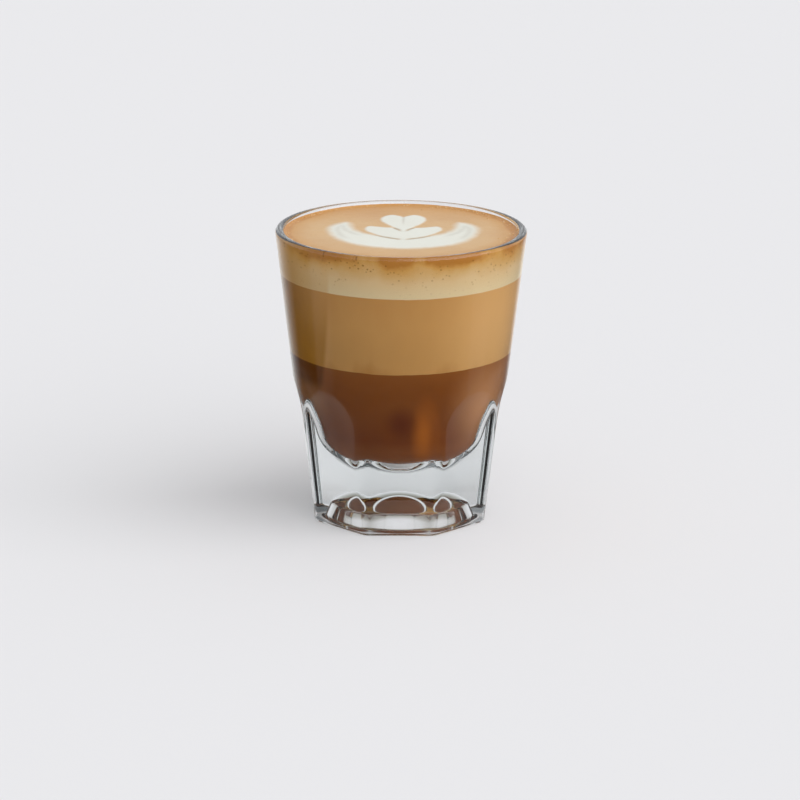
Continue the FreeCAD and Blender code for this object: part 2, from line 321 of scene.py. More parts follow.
def glass_rows():
    """Rings of points from the middle of the hollow under the base, round the lip, to the
    middle of the cavity's floor."""
    foot_angles = column_angles(0.0)
    punt = punt_profile()
    rows = [ring(foot_angles, r, z) for r, z in punt]
    foot_outline = outer_radius(foot_angles, 0.0) - HEEL_ROUND
    for share in np.linspace(1 / FOOT_RINGS, 1.0, FOOT_RINGS):
        radii = punt[-1][0] * (1 - share) + foot_outline * share
        rows.append(ring(foot_angles, radii, 0.0))
    for turn in np.linspace(0, math.pi / 2, HEEL_STEPS)[1:]:
        z = HEEL_ROUND * (1 - math.cos(turn))
        inset = HEEL_ROUND * (1 - math.sin(turn))
        rows.append(ring(foot_angles, outer_radius(foot_angles, z) - inset, z))
    arch_from, arch_to = PANEL_FLAT_HEIGHT - ARCH_ROWS_UNDER, ARCH_HEIGHT + ARCH_ROWS_OVER
    for start, stop, count in (
        (HEEL_ROUND, arch_from, FLAT_ROWS),
        (arch_from, arch_to, ARCH_ROWS),
        (arch_to, GLASS_TOP - WALL_CLEAR, WALL_ROWS),
    ):
        for z in np.linspace(start, stop, count)[1:]:
            angles = column_angles(z)
            rows.append(ring(angles, outer_radius(angles, z), z))
    under_lip = GLASS_TOP - LIP_ROUND - INSIDE_CLEAR
    inside = [(r, z) for r, z in CAVITY if z < under_lip and r > INNERMOST]
    plain = column_angles(GLASS_TOP)
    return rows + [ring(plain, r, z) for r, z in lip_profile() + inside]


# ---------------------------------------------------------------- the poured pattern

ART_SHIFT = 0.6 * MM
ART_LINE = 0.9 * MM
STEM_WIDTH = 2.4 * MM
HEART_SIZE = Vector((12.2, 19.2)) * MM
HEART_TIP = 1.4 * MM
LEAF_SIZE = Vector((21.0, 14.8)) * MM
LEAF_LOW = -7.8 * MM
CRESCENT_SIZE = Vector((42.0, 31.4)) * MM
CRESCENT_LOW = -19.2 * MM

# The right halves' outlines, as shares of each shape's half width and its height.
HEART = [(0, 0), (0.30, 0.17), (0.80, 0.47), (0.98, 0.78), (0.55, 0.99), (0, 0.84)]
LEAVES = [(0, 0), (0.47, 0.17), (0.86, 0.50), (1.0, 0.82), (0.90, 0.99), (0.62, 0.93), (0, 0.9)]
CRESCENT = [
    (0, 0),
    (0.52, 0.09),
    (0.88, 0.36),
    (1.0, 0.68),
    (0.90, 0.92),
    (0.74, 0.99),
    (0.68, 0.84),
    (0.60, 0.66),
    (0.40, 0.52),
    (0, 0.46),
]
SPLINE_STEPS = 14

RAGGED = 0.35 * MM  # how far the outlines stray
PETAL_EDGE = 1.2 * MM  # widths over which the white fades
CRESCENT_EDGE = 3.4 * MM
STEM_EDGE = 2 * MM
GAP = 0.8 * ART_LINE  # the crema left between one white shape and the next
GAP_EDGE = 0.5 * MM
LINE_OUT = 0.45 * ART_LINE  # how far outside a shape its dark line runs
LEAF_LINE, HEART_LINE = 0.62 * MM, 0.55 * MM  # the lines' widths
FOLD_WIDTH, FOLD_LENGTH, FOLD_TONE = 0.35 * MM, 7 * MM, 0.45  # the crease down from the notch
SEAM_DEPTH, SEAM_WIDTH, SEAM_TONE = 2.7 * MM, 0.9 * MM, 0.30  # the faint line in the horns
SEAM_TOP, SEAM_FADE = 9 * MM, 5 * MM
HORN_SIDE, HORN_SIDE_FADE = 12 * MM, 4 * MM  # the crescent's horns lie out from here
HORN_LOW, HORN_LOW_FADE = -7 * MM, 7 * MM  # and up from here
STEM_CLEARS = 0.85  # how much of the lines the stem hides


def smooth_through(points):
    """A natural cubic spline through points, as a fine polyline."""
    points = np.array(points, dtype=float)
    knots = np.concatenate([[0], np.cumsum(np.linalg.norm(np.diff(points, axis=0), axis=1))])
    gaps = np.diff(knots)
    count = len(points)
    system = np.eye(count)
    right = np.zeros((count, 2))
    for k in range(1, count - 1):
        system[k, k - 1 : k + 2] = gaps[k - 1], 2 * (gaps[k - 1] + gaps[k]), gaps[k]
        rise_on = (points[k + 1] - points[k]) / gaps[k]
        rise_before = (points[k] - points[k - 1]) / gaps[k - 1]
        right[k] = 6 * (rise_on - rise_before)
    bends = np.linalg.solve(system, right)
    line = []
    for k in range(count - 1):
        t = np.linspace(0, gaps[k], SPLINE_STEPS, endpoint=False)[:, None]
        slope = (points[k + 1] - points[k]) / gaps[k] - gaps[k] * (2 * bends[k] + bends[k + 1]) / 6
        line.append(points[k] + slope * t + bends[k] * t**2 / 2)
        line[-1] += (bends[k + 1] - bends[k]) / (6 * gaps[k]) * t**3
    return np.concatenate(line + [points[-1:]])


def petal_outline(shares, size, low):
    """The closed outline of a petal pair, from the shares of its right half."""
    half = [(x * size.x / 2, low + y * size.y) for x, y in shares]
    right = smooth_through(half)
    left = right[::-1] * np.array([-1, 1])
    return np.concatenate([right, left[1:-1]])


def depth_inside(points, outline):
    """How deep each point lies inside a closed outline; negative outside."""
    nearest = np.full(len(points), np.inf)
    inside = np.zeros(len(points), dtype=bool)
    x, y = points[:, 0], points[:, 1]
    for start, stop in zip(outline, np.roll(outline, -1, axis=0)):
        run = stop - start
        share = np.clip(((points - start) @ run) / max(run @ run, 1e-18), 0, 1)
        gap = points - start - share[:, None] * run
        nearest = np.minimum(nearest, np.einsum("ij,ij->i", gap, gap))
        crosses = (start[1] > y) != (stop[1] > y)
        if crosses.any():
            meet = start[0] + run[0] * (y - start[1]) / (run[1] if run[1] else 1)
            inside ^= crosses & (x < meet)
    return np.where(inside, 1, -1) * np.sqrt(nearest)


def soft_step(depth, width):
    """0 well outside, 1 well inside, over a band of the given width round 0."""
    t = np.clip(depth / width + 0.5, 0, 1)
    return t * t * (3 - 2 * t)


def bell(offset, width):
    """1 at no offset, falling off on both sides."""
    return np.exp(-((offset / width) ** 2))


def wobble(points, scale, size):
    """A smooth random offset for each point, the same at every run."""
    return size * np.array([noise.noise(Vector((x * scale, y * scale, 0.7))) for x, y in points])


def pattern_fields(points):
    """How white the surface is at each point, how dark a drawn line, and the pattern's reach."""
    at = points - np.array([ART_SHIFT, 0])
    across, up = np.abs(at[:, 0]), at[:, 1]
    ragged = wobble(at, 700, RAGGED)
    heart = depth_inside(at, petal_outline(HEART, HEART_SIZE, HEART_TIP)) + 0.5 * ragged
    leaves = depth_inside(at, petal_outline(LEAVES, LEAF_SIZE, LEAF_LOW)) + 0.5 * ragged
    crescent = depth_inside(at, petal_outline(CRESCENT, CRESCENT_SIZE, CRESCENT_LOW)) + ragged

    stem_low, stem_high = LEAF_LOW - 3 * ART_LINE, HEART_TIP + 2 * ART_LINE
    from_end = np.minimum(up - stem_low, stem_high - up)
    stem = soft_step(STEM_WIDTH / 2 - across, STEM_EDGE) * soft_step(from_end, STEM_EDGE)
    off_heart = soft_step(-heart - GAP, GAP_EDGE)
    off_leaves = soft_step(-leaves - GAP, GAP_EDGE)
    white_heart = soft_step(heart + 0.15 * MM, PETAL_EDGE)
    white_leaves = soft_step(leaves + 0.1 * MM, PETAL_EDGE) * off_heart
    white_crescent = soft_step(crescent - 0.4 * MM, CRESCENT_EDGE) * off_heart * off_leaves
    white = np.maximum.reduce([white_heart, white_leaves, white_crescent, stem])

    under_leaves = bell(leaves + LINE_OUT, LEAF_LINE) * soft_step(crescent - 0.5 * MM, 1.5 * MM)
    under_heart = bell(heart + LINE_OUT, HEART_LINE) * soft_step(leaves - 0.2 * MM, 1.0 * MM)
    notch = HEART_TIP + HEART_SIZE.y * HEART[-1][1]
    fold = bell(across, FOLD_WIDTH) * soft_step(heart, 1 * MM)
    fold *= soft_step(up - notch + FOLD_LENGTH, FOLD_LENGTH)
    in_horns = soft_step(across - HORN_SIDE, HORN_SIDE_FADE) * soft_step(up - HORN_LOW, HORN_LOW_FADE)
    seam = SEAM_TONE * bell(crescent - SEAM_DEPTH, SEAM_WIDTH) * in_horns
    seam *= soft_step(SEAM_TOP - up, SEAM_FADE)
    line = np.maximum.reduce([under_leaves, under_heart, FOLD_TONE * fold, seam])
    line *= 1 - STEM_CLEARS * stem
    return white, line, np.maximum.reduce([heart, leaves, crescent])


# ---------------------------------------------------------------- the layers' edges and sides

EMBED = 0.08 * MM  # how far the drink reaches into the glass
WAVE = 0.22 * MM  # how much a layer's edge wavers
AROUND = np.linspace(0, 2 * math.pi, 361)[:-1]
DISH_TOP = MILK_COFFEE_BOTTOM - 2 * MM  # the espresso follows the cavity's own rows to just under here
DISH_CLEAR = 0.3 * MM
DISH_INNERMOST = 0.5 * MM


def interface_height(z, angles, depth):
    """A layer's edge, which wavers a little round the glass."""
    wave = [noise.noise(Vector((2.2 * math.cos(a), 2.2 * math.sin(a), z * 400))) for a in angles]
    fine = [noise.noise(Vector((9 * math.cos(a), 9 * math.sin(a), z * 900))) for a in angles]
    return z + depth * (np.array(wave) + 0.35 * np.array(fine))


def layer_rows(bottom, top, wave_low=WAVE):
    """Rings up the side of a layer that reaches just into the glass."""
    low = interface_height(bottom, AROUND, wave_low)
    high = interface_height(top, AROUND, WAVE)
    rows = []
    for share in np.linspace(0, 1, 3 + round((top - bottom) / MM)):
        heights = low * (1 - share) + high * share
        rows.append(ring(AROUND, cavity_radius(heights) + EMBED, heights))
    return rows


def espresso_rows():
    """The lowest layer, from the middle of the cavity's floor up."""
    rows = []
    for (r, z), (r_on, z_on) in zip(CAVITY[::-1], CAVITY[::-1][1:]):
        if r > DISH_INNERMOST and z < DISH_TOP - DISH_CLEAR:
            out = Vector((z_on - z, -(r_on - r))).normalized() * EMBED
            rows.append(ring(AROUND, r + out.x, z + out.y))
    return rows + layer_rows(DISH_TOP, MILK_COFFEE_BOTTOM, wave_low=0)


# ---------------------------------------------------------------- the surface of the drink

SURFACE_CELLS = 270
SURFACE_RADIUS = cavity_radius(FILL) + EMBED
MENISCUS_RISE = 0.5 * MM
MENISCUS_WIDTH = 0.9 * MM
CREMA_SIDE_STEPS = 8
PATTERN_MARGIN = 1.6 * MM  # how far the pattern's body runs on round the white
PATTERN_BODY = 0.5 * MM
SINK_DEPTH = 0.8 * PATTERN_BODY  # how far the crema dips under that body,
SINK_MARGIN = PATTERN_MARGIN - 0.6 * MM  # from nearer in than the body's edge
SINK_EDGE = 0.8 * MM
PATTERN_RISE = 0.05 * MM  # the relief of the white and of the lines
LINE_DIP = 0.07 * MM

BUBBLES = 520
BUBBLE_SEED = 11
BUBBLE_SIZES = (0.10, 0.20)  # mm, the least and the most of the radius,
BUBBLE_SPREAD = 0.05  # mm, and the mean of what comes on top of that
BUBBLE_SIDES, BUBBLE_LEVELS = 10, 4
BUBBLE_HEIGHT, BUBBLE_DEPTH, BUBBLE_SUNK = 0.75, 0.3, 0.25  # shares of the radius
CLUSTER_SHARE, CLUSTER_ANGLE, CLUSTER_SPREAD = 0.3, -0.9, 0.35  # some gather at the front right
FROM_WALL, FARTHEST = 0.9, 6.0  # mm, the mean and the most that a bubble lies off the wall


def disc_grid():
    """Points of a square grid, drawn onto the disc of the drink's surface."""
    line = np.linspace(-1, 1, SURFACE_CELLS + 1)
    u, v = np.meshgrid(line, line)
    x, y = u * np.sqrt(1 - v**2 / 2), v * np.sqrt(1 - u**2 / 2)
    return np.stack([x.ravel(), y.ravel()], axis=1) * SURFACE_RADIUS


def surface_heights(points, white, line):
    """The foam's surface: nearly level, creeping up the wall, with the pattern standing proud."""
    from_wall = SURFACE_RADIUS - np.linalg.norm(points, axis=1)
    rise = MENISCUS_RISE * np.exp(-from_wall / MENISCUS_WIDTH)
    swell = wobble(points, 90, 0.10 * MM) + wobble(points, 450, 0.03 * MM)
    return FILL + rise + swell + PATTERN_RISE * white - LINE_DIP * line


def grid_faces():
    """The grid's squares."""
    side = SURFACE_CELLS + 1
    low = (np.arange(SURFACE_CELLS)[:, None] * side + np.arange(SURFACE_CELLS)).ravel()
    return np.stack([low, low + 1, low + side + 1, low + side], axis=1)


def edge_loops(faces):
    """The directed edges that only one face has."""
    edges = np.concatenate([np.stack([faces[:, k], faces[:, (k + 1) % 4]], axis=1) for k in range(4)])
    known = {tuple(edge) for edge in edges.tolist()}
    return [edge for edge in known if edge[::-1] not in known]


def rim_order():
    """The grid's border, anticlockwise from its first corner."""
    side, last = SURFACE_CELLS + 1, SURFACE_CELLS
    near = [k for k in range(last)]
    right = [k * side + last for k in range(last)]
    far = [last * side + last - k for k in range(last)]
    left = [(last - k) * side for k in range(last)]
    return near + right + far + left


def store(mesh, **fields):
    """Keeps numbers for each vertex on the mesh, for the material to read."""
    for name, values in fields.items():
        layer = mesh.attributes.new(name, "FLOAT", "POINT")
        layer.data.foreach_set("value", np.asarray(values, dtype=np.float32))


def crema_mesh(points, heights, white, line, sunk):
    """The crema: the drink's whole surface, its side against the glass and its underside."""
    rim = rim_order()
    top = np.column_stack([points, heights - sunk])
    angles = np.arctan2(points[rim, 1], points[rim, 0])
    rows = []
    low = interface_height(CREMA_BOTTOM, angles, WAVE)
    for share in np.linspace(0, 1, CREMA_SIDE_STEPS + 1)[1:]:
        level = heights[rim] * (1 - share) + low * share
        rows.append(ring(angles, cavity_radius(level) + EMBED, level))
    verts = np.concatenate([top] + rows + [[[0.0, 0.0, CREMA_BOTTOM]]])
    faces = grid_faces().tolist()
    around = len(rim)
    starts = range(len(top), len(verts) - 1, around)
    loops = [rim] + [range(start, start + around) for start in starts]
    for upper, lower in zip(loops, loops[1:]):
        for k in range(around):
            n = (k + 1) % around
            faces.append((upper[k], lower[k], lower[n], upper[n]))
    faces += fan(loops[-1], len(verts) - 1, flip=True)
    mesh = new_mesh("crema_layer", verts.tolist(), faces)
    spare = np.zeros(len(verts) - len(top))
    store(mesh, white=np.concatenate([white, spare]), line=np.concatenate([line, spare]))
    return mesh


def pattern_mesh(points, heights, white, line, wanted):
    """The poured pattern: a thin body of white foam that floats in the crema."""
    squares = grid_faces()
    squares = squares[wanted[squares].all(axis=1)]
    used = np.unique(squares)
    place = np.full(len(points), -1)
    place[used] = np.arange(len(used))
    squares = place[squares]
    top = np.column_stack([points[used], heights[used]])
    under = top - np.array([0, 0, PATTERN_BODY])
    count = len(used)
    faces = squares.tolist() + (squares[:, ::-1] + count).tolist()
    faces += [(b, a, a + count, b + count) for a, b in edge_loops(squares)]
    mesh = new_mesh("poured_pattern", np.concatenate([top, under]).tolist(), faces)
    store(mesh, white=np.tile(white[used], 2), line=np.tile(line[used], 2))
    return mesh


def bubble_mesh():
    """Small bubbles along the wall and here and there on the crema, as one joined mesh."""
    random = np.random.default_rng(BUBBLE_SEED)
    verts, faces = [], []
    for _ in range(BUBBLES):
        size = random.uniform(*BUBBLE_SIZES) * MM + random.exponential(BUBBLE_SPREAD) * MM
        angle = random.uniform(0, 2 * math.pi)
        if random.uniform() < CLUSTER_SHARE:
            angle = random.normal(CLUSTER_ANGLE, CLUSTER_SPREAD)
        away = min(random.exponential(FROM_WALL), FARTHEST) * MM + size
        r = SURFACE_RADIUS - EMBED - away
        base = FILL + MENISCUS_RISE * math.exp(-(away + EMBED) / MENISCUS_WIDTH)
        centre = Vector((r * math.cos(angle), r * math.sin(angle), base - BUBBLE_SUNK * size))
        rows = []
        for level in range(BUBBLE_LEVELS):
            lift = math.pi / 2 * level / BUBBLE_LEVELS
            rows.append(range(len(verts), len(verts) + BUBBLE_SIDES))
            for k in range(BUBBLE_SIDES):
                turn = 2 * math.pi * k / BUBBLE_SIDES
                out = Vector((math.cos(turn) * math.cos(lift), math.sin(turn) * math.cos(lift), 0))
                up = Vector((0, 0, BUBBLE_HEIGHT * math.sin(lift)))
                verts.append(tuple(centre + size * (out + up)))
        for lower, upper in zip(rows, rows[1:]):
            faces += band(lower, upper)
        faces += fan(rows[-1], len(verts)) + fan(rows[0], len(verts) + 1, flip=True)
        verts.append(tuple(centre + Vector((0, 0, BUBBLE_HEIGHT * size))))
        verts.append(tuple(centre - Vector((0, 0, BUBBLE_DEPTH * size))))
    return new_mesh("crema_bubbles", verts, faces)


# ---------------------------------------------------------------- node trees


def srgb(red, green, blue):
    """A colour given as 0 to 255 screen values, in linear light."""
    return tuple(
        c / 12.92 if c <= 0.04045 else ((c + 0.055) / 1.055) ** 2.4
        for c in (red / 255, green / 255, blue / 255)
    ) + (1,)


class Tree:
    """A node tree in the making. Its methods add nodes, fed by sockets or constants, and give the
    socket of the result. The last, end, feeds the tree's output."""

    def __init__(self, owner, output):
        owner.use_nodes = True
        self.nodes, self.links = owner.node_tree.nodes, owner.node_tree.links
        self.nodes.clear()
        self.output = self.nodes.new(output)

    def add(self, kind, result, inputs=None, **settings):
        """Any node: its settings, what feeds its inputs, and the output that is wanted."""
        node = self.nodes.new(kind)
        for name, setting in settings.items():
            setattr(node, name, setting)
        for key, source in (inputs or {}).items():
            if isinstance(source, bpy.types.NodeSocket):
                self.links.new(source, node.inputs[key])
            else:
                node.inputs[key].default_value = source
        return node.outputs[result]

    def place(self, space="Object"):
        """Where the point is."""
        return self.add("ShaderNodeTexCoord", space)

    def along(self, axis, vector=None):
        """One coordinate of a vector, or of where the point is."""
        source = self.place() if vector is None else vector
        return self.add("ShaderNodeSeparateXYZ", axis, {"Vector": source})

    def math(self, operation, *sources):
        """A sum, product or the like of numbers."""
        return self.add("ShaderNodeMath", "Value", dict(enumerate(sources)), operation=operation)

    def vector(self, operation, *sources, result="Vector"):
        """The same of vectors."""
        inputs = dict(enumerate(sources))
        return self.add("ShaderNodeVectorMath", result, inputs, operation=operation)

    def fade(self, value, start, stop, low=0.0, high=1.0, kind="LINEAR"):
        """From low to high as a value goes from start to stop."""
        inputs = {"Value": value, "From Min": start, "From Max": stop, "To Min": low, "To Max": high}
        return self.add("ShaderNodeMapRange", "Result", inputs, interpolation_type=kind)

    def noise(self, scale, detail, stretch=None):
        """Noise between 0 and 1."""
        at = self.vector("MULTIPLY", self.place(), stretch) if stretch else self.place()
        return self.add("ShaderNodeTexNoise", "Fac", {"Vector": at, "Scale": scale, "Detail": detail})

    def cells(self, scale):
        """How far the point is from the middle of its cell."""
        return self.add("ShaderNodeTexVoronoi", "Distance", {"Vector": self.place(), "Scale": scale})

    def ramp(self, factor, stops):
        """A colour from a factor, through (place, colour) stops."""
        node = self.add("ShaderNodeValToRGB", "Color", {"Fac": factor}).node
        elements = node.color_ramp.elements
        for element, (place, colour) in ((elements[0], stops[0]), (elements[1], stops[-1])):
            element.position = place
            element.color = colour
        for place, colour in stops[1:-1]:
            elements.new(place).color = colour
        return node.outputs["Color"]

    def blend(self, share, first, second):
        """Two colours mixed."""
        return self.add("ShaderNodeMix", 2, {0: share, 6: first, 7: second}, data_type="RGBA")

    def mix(self, share, first, second):
        """Two shaders mixed."""
        return self.add("ShaderNodeMixShader", "Shader", {"Fac": share, 1: first, 2: second})

    def principled(self, colour, roughness, specular, more=None):
        """The usual shader, with more of its inputs by name."""
        inputs = {"Base Color": colour, "Roughness": roughness, "Specular IOR Level": specular}
        return self.add("ShaderNodeBsdfPrincipled", "BSDF", {**inputs, **(more or {})})

    def end(self, **results):
        """Feeds the tree's output."""
        for name, source in results.items():
            self.links.new(source, self.output.inputs[name])


def new_material(name):
    """A material and its tree."""
    material = bpy.data.materials.new(name)
    return material, Tree(material, "ShaderNodeOutputMaterial")


# ---------------------------------------------------------------- materials

GLASS_IOR = 1.52
DRINK_IOR = 0.89  # as seen from within the glass

# Each layer's colours by height, with some noise, and the patches that lie on them: centre and
# size in mm, strength and colour. Several patches are painted light and painted shade: lighter
# on the right, where the lamp is, and darker, more amber at the left.
ESPRESSO_STOPS = [
    (0.08, srgb(152, 98, 62)),
    (0.40, srgb(122, 66, 35)),
    (0.80, srgb(134, 76, 33)),
    (0.97, srgb(150, 90, 42)),
]
ESPRESSO_LIGHT_AND_TONE_PATCHES = [
    # painted light: an orange glow where light comes through the espresso
    ((6.5, -19, 29), (4.5, 14, 15), 0.9, srgb(178, 100, 36)),
    ((0.3, -18, 33), (6, 12, 8), 0.75, srgb(88, 36, 22)),
    # painted light: the right side, lighter where the lamp shines on it
    ((24, -12, 34), (16, 22, 22), 0.9, srgb(214, 154, 104)),
    ((-27, -8, 38), (12, 22, 18), 0.8, srgb(176, 126, 76)),
]
MILK_COFFEE_STOPS = [
    (0.18, srgb(196, 142, 80)),
    (0.30, srgb(210, 158, 94)),
    (0.60, srgb(215, 163, 98)),
    (0.85, srgb(211, 157, 93)),
]
MILK_COFFEE_LIGHT_AND_SHADE = [
    # painted shade: darker and more amber at the left
    ((-33, -8, 58), (15, 34, 40), 0.95, srgb(158, 104, 34)),
    # painted light: lighter on the right, the lamp's side
    ((27, -18, 58), (24, 40, 40), 0.8, srgb(240, 190, 126)),
]
FROTH_STOPS = [
    (0.10, srgb(243, 221, 176)),
    (0.42, srgb(240, 210, 160)),
    (0.68, srgb(232, 190, 128)),
    (0.86, srgb(222, 168, 92)),
    (1.0, srgb(198, 134, 62)),
]
# Painted shade: darker and more amber at the froth's left.
FROTH_SHADE_PATCHES = [((-33, -8, 78), (15, 34, 30), 0.9, srgb(226, 172, 92))]
FROTH_DOT = srgb(160, 105, 48)

# Painted shade: the drink is darker and more amber left of a plane. For each layer: the heights
# between which that fades in, its strength and its colour.
LEFT_SHADE_PLANE, LEFT_SHADE_EDGE = -18.4 * MM, 1.2 * MM
ESPRESSO_LEFT_SHADE = (38 * MM, 43 * MM, 0.85, srgb(104, 56, 4))
MILK_COFFEE_LEFT_SHADE = (74 * MM, 50 * MM, 0.7, srgb(176, 118, 14))
FROTH_LEFT_SHADE = (79 * MM, 70 * MM, 0.35, srgb(214, 156, 60))

# The surface by distance from the axis, and the tones that lie on it.
SURFACE_STOPS = [
    (0.62, srgb(214, 178, 130)),
    (0.86, srgb(211, 172, 121)),
    (0.97, srgb(204, 156, 94)),
    (1.0, srgb(186, 128, 62)),
]
SURFACE_BACK = srgb(204, 150, 84)
SURFACE_BLOTCH = srgb(196, 146, 92)
SURFACE_GRAIN = srgb(170, 120, 70)
PATTERN_WHITE = srgb(229, 231, 222)
PATTERN_LINE = srgb(152, 134, 110)
SURFACE_ROUGHNESS, SURFACE_SPECULAR = 0.42, 0.35

BUBBLE_STOPS = [(0.3, srgb(176, 126, 72)), (0.5, srgb(212, 170, 118)), (0.7, srgb(232, 205, 165))]


def glass_material():
    """Clear glass, grey-green where it is thick. Lamps shine straight in, for the drink's sake."""
    material, tree = new_material("clear_glass")
    clear = {"Transmission Weight": 1.0, "IOR": GLASS_IOR}
    glass = tree.principled((1, 1, 1, 1), 0.0, 0.5, clear)
    through = tree.add("ShaderNodeBsdfTransparent", "BSDF", {"Color": (0.97, 0.98, 0.98, 1)})
    is_shadow = tree.add("ShaderNodeLightPath", "Is Shadow Ray")
    thick = {"Color": (0.25, 0.42, 0.42, 1), "Density": 5.0}
    tint = tree.add("ShaderNodeVolumeAbsorption", "Volume", thick)
    tree.end(Surface=tree.mix(is_shadow, glass, through), Volume=tint)
    return material


def wetted(tree, shaded):
    """A drink against glass: seen at a flat angle, the meeting of the two is a mirror."""
    flatness = tree.add("ShaderNodeFresnel", "Fac", {"IOR": DRINK_IOR})
    silver = {"Roughness": 0.04, "Color": (0.97, 0.97, 0.97, 1)}
    return tree.mix(flatness, shaded, tree.add("ShaderNodeBsdfAnisotropic", "BSDF", silver))


def with_patches(tree, colour, patches):
    """A colour with soft patches of other tones on it, some of them painted light and painted shade."""
    for centre, size, strength, tone in patches:
        gap = tree.vector("SUBTRACT", tree.place(), [x * MM for x in centre])
        away = tree.vector("LENGTH", tree.vector("DIVIDE", gap, [x * MM for x in size]), result="Value")
        colour = tree.blend(tree.fade(away, 0.0, 1.0, strength, 0.0, "SMOOTHSTEP"), colour, tone)
    return colour


def with_painted_left_shade(tree, colour, start, stop, strength, tone):
    """A colour with painted shade on the drink's left, a darker, more amber tone, fading in from one
    height to another.
    """
    side = tree.fade(tree.along("X"), LEFT_SHADE_PLANE, LEFT_SHADE_PLANE - LEFT_SHADE_EDGE, kind="SMOOTHSTEP")
    level = tree.fade(tree.along("Z"), start, stop, kind="SMOOTHSTEP")
    share = tree.math("MULTIPLY", tree.math("MULTIPLY", side, level), strength)
    return tree.blend(share, colour, tone)


def espresso_colour(tree):
    """Espresso seen through the glass: dark, with a painted warm glow where light comes through and
    painted light on the right.
    """
    height = tree.fade(tree.along("Z"), FLOOR, MILK_COFFEE_BOTTOM)
    cloud = tree.math("MULTIPLY", tree.noise(55, 3), 0.24)
    colour = tree.ramp(tree.math("MULTIPLY_ADD", height, 0.82, cloud), ESPRESSO_STOPS)
    colour = with_patches(tree, colour, ESPRESSO_LIGHT_AND_TONE_PATCHES)
    return with_painted_left_shade(tree, colour, *ESPRESSO_LEFT_SHADE)


def milk_coffee_colour(tree):
    """Milk and coffee, mixed, with faint streaks down it, painted light on the right and painted shade
    at the left.
    """
    height = tree.fade(tree.along("Z"), MILK_COFFEE_BOTTOM, FOAM_BOTTOM)
    streaks = tree.math("MULTIPLY", tree.noise(150, 4, (1.0, 1.0, 0.12)), 0.5)
    colour = tree.ramp(tree.math("MULTIPLY_ADD", height, 0.6, streaks), MILK_COFFEE_STOPS)
    colour = with_patches(tree, colour, MILK_COFFEE_LIGHT_AND_SHADE)
    return with_painted_left_shade(tree, colour, *MILK_COFFEE_LEFT_SHADE)


def froth_side(tree):
    """Foam and crema against the glass: pale below, stained above, dotted with bubbles, with painted
    shade at the left.
    """
    height = tree.fade(tree.along("Z"), FOAM_BOTTOM, FILL)
    lift = tree.math("MULTIPLY", height, tree.noise(115, 5))
    sway = tree.math("MULTIPLY_ADD", lift, 0.92, tree.math("MULTIPLY", height, 0.59))
    colour = with_patches(tree, tree.ramp(sway, FROTH_STOPS), FROTH_SHADE_PATCHES)
    colour = with_painted_left_shade(tree, colour, *FROTH_LEFT_SHADE)
    dots = tree.fade(tree.cells(900), 0.12, 0.3, 1.0, 0.0)
    some = tree.math("GREATER_THAN", tree.noise(260, 2), 0.52)
    dotted = tree.math("MULTIPLY", tree.math("MULTIPLY", dots, some), height)
    return tree.blend(dotted, colour, FROTH_DOT)


def above(tree, field, least, gain):
    """What a field has over a least value, times a gain."""
    over = tree.math("MULTIPLY", tree.math("SUBTRACT", field, least), gain)
    return tree.math("MAXIMUM", over, 0.0)


def froth_top(tree):
    """The drink's surface: tan crema, darker at the wall, under the white of the pattern."""
    flat = tree.vector("MULTIPLY", tree.place(), (1.0, 1.0, 0.0))
    out = tree.math("DIVIDE", tree.vector("LENGTH", flat, result="Value"), SURFACE_RADIUS)
    cloud = tree.noise(110, 4)
    tan = tree.ramp(tree.math("MULTIPLY_ADD", cloud, 0.10, out), SURFACE_STOPS)
    back = tree.fade(tree.along("Y"), 2 * MM, 34 * MM, kind="SMOOTHSTEP")
    tan = tree.blend(tree.math("MULTIPLY", back, 0.7), tan, SURFACE_BACK)
    tan = tree.blend(above(tree, tree.noise(45, 5), 0.46, 2.0), tan, SURFACE_BLOTCH)
    tan = tree.blend(above(tree, tree.noise(1500, 2), 0.5, 0.5), tan, SURFACE_GRAIN)
    white, line = (
        tree.add("ShaderNodeAttribute", "Fac", attribute_name=name) for name in ("white", "line")
    )
    cover = tree.math("MULTIPLY", white, tree.math("MULTIPLY_ADD", cloud, 0.12, 0.9))
    colour = tree.blend(cover, tan, PATTERN_WHITE)
    return tree.blend(tree.math("MULTIPLY", line, 0.68), colour, PATTERN_LINE)


def drink_material(name, colour_of, roughness):
    """A layer of the drink against the glass."""
    material, tree = new_material(name)
    tree.end(Surface=wetted(tree, tree.principled(colour_of(tree), roughness, 0.0)))
    return material


def surface_shader(tree):
    """Slightly wet froth, with micro-bubbles that are finer than the mesh."""
    relief = {"Strength": 0.25, "Distance": 0.1 * MM, "Height": tree.cells(2600)}
    normal = tree.add("ShaderNodeBump", "Normal", relief)
    return tree.principled(froth_top(tree), SURFACE_ROUGHNESS, SURFACE_SPECULAR, {"Normal": normal})


def crema_material():
    """Crema: as foam where it lies against the glass, tan and slightly wet on top."""
    material, tree = new_material("crema_froth")
    side = wetted(tree, tree.principled(froth_side(tree), 0.6, 0.0))
    facing_up = tree.along("Z", tree.add("ShaderNodeNewGeometry", "Normal"))
    tree.end(Surface=tree.mix(tree.fade(facing_up, 0.55, 0.75), side, surface_shader(tree)))
    return material


def pattern_material():
    """The pattern's white foam, which fades into the crema at its edge."""
    material, tree = new_material("white_microfoam")
    tree.end(Surface=surface_shader(tree))
    return material


def bubble_material():
    """The skin of a bubble: tan, glossy."""
    material, tree = new_material("bubble_skin")
    tree.end(Surface=tree.principled(tree.ramp(tree.noise(900, 2), BUBBLE_STOPS), 0.12, 0.5))
    return material


# ---------------------------------------------------------------- the pieces


